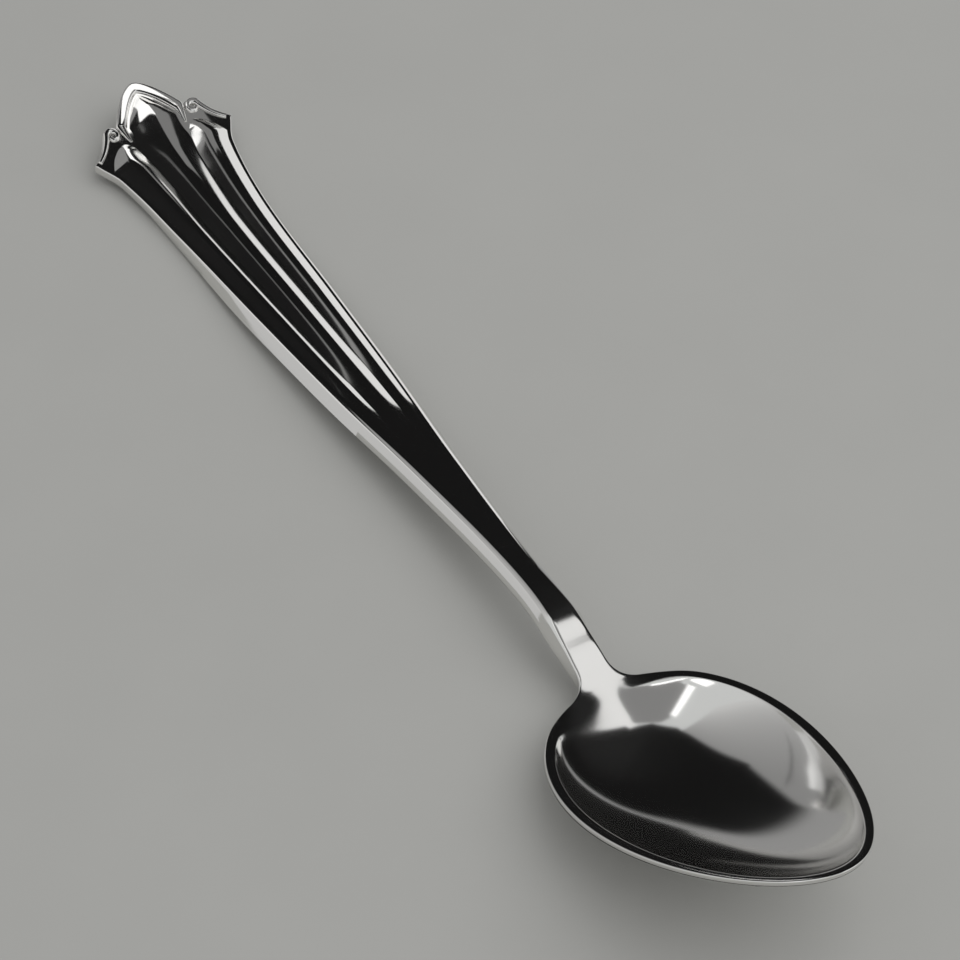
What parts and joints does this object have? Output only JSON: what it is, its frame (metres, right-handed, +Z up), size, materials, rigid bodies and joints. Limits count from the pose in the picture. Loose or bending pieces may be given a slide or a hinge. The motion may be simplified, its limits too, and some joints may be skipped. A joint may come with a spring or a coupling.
{
  "type": "teaspoon",
  "caption": "Teaspoon with an egg-shaped bowl, a slim stem and a fan-shaped handle end with rounded reeds, a beaded edge and small scrolls.",
  "frame": {"origin": "under the middle of the spoon, on the surface that it rests on", "axes": "+X along the spoon from the handle's end toward the bowl, +Z up"},
  "size_m": [0.141, 0.0254, 0.0194],
  "materials": {
    "silver": "polished"
  },
  "bodies": {
    "root": {"bowl": "silver", "neck": "silver", "stem": "silver", "handle_plate": "silver", "reed_left": "silver", "reed_centre": "silver", "reed_right": "silver", "end_bead": "silver", "scroll_left": "silver", "scroll_right": "silver"}
  },
  "joints": []
}
